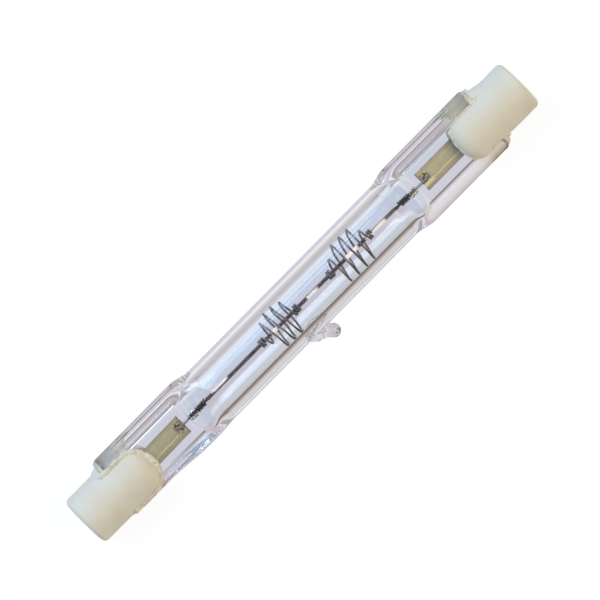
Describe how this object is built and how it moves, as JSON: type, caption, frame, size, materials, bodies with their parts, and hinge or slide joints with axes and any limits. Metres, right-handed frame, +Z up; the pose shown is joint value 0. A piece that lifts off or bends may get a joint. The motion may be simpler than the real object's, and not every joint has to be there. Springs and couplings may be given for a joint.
{
  "type": "double-ended linear halogen lamp",
  "caption": "Linear halogen lamp: clear quartz tube with flat pinch seals, wire filament held by spirals, and a round ceramic cap with a recessed contact at each end.",
  "frame": {"origin": "on the lamp's axis, midway between the two contacts", "axes": "+X along the lamp towards the end that the exhaust stub leans to, +Z up as the lamp lies on a table, with the stub low on the -Y side"},
  "size_m": [0.0782, 0.0098, 0.0084],
  "materials": {
    "quartz": "clear fused quartz",
    "ceramic": "unglazed, matt",
    "cement": "dried cement, rough",
    "contact": "nickel, satin",
    "molybdenum": "rolled ribbon and drawn wire, satin",
    "tungsten": "drawn and sintered, dark"
  },
  "bodies": {
    "root": {"quartz_envelope": "quartz", "filament": "tungsten", "support_spiral_left": "tungsten", "support_spiral_right": "tungsten", "lead_coil_left": "tungsten", "lead_coil_right": "tungsten", "cap_cement_left": "cement", "cap_cement_right": "cement", "inner_lead_left": "molybdenum", "inner_lead_right": "molybdenum", "seal_foil_left": "molybdenum", "seal_foil_right": "molybdenum", "outer_lead_left": "molybdenum", "outer_lead_right": "molybdenum", "contact_left": "contact", "contact_right": "contact", "ceramic_cap_left": "ceramic", "ceramic_cap_right": "ceramic"}
  },
  "joints": []
}
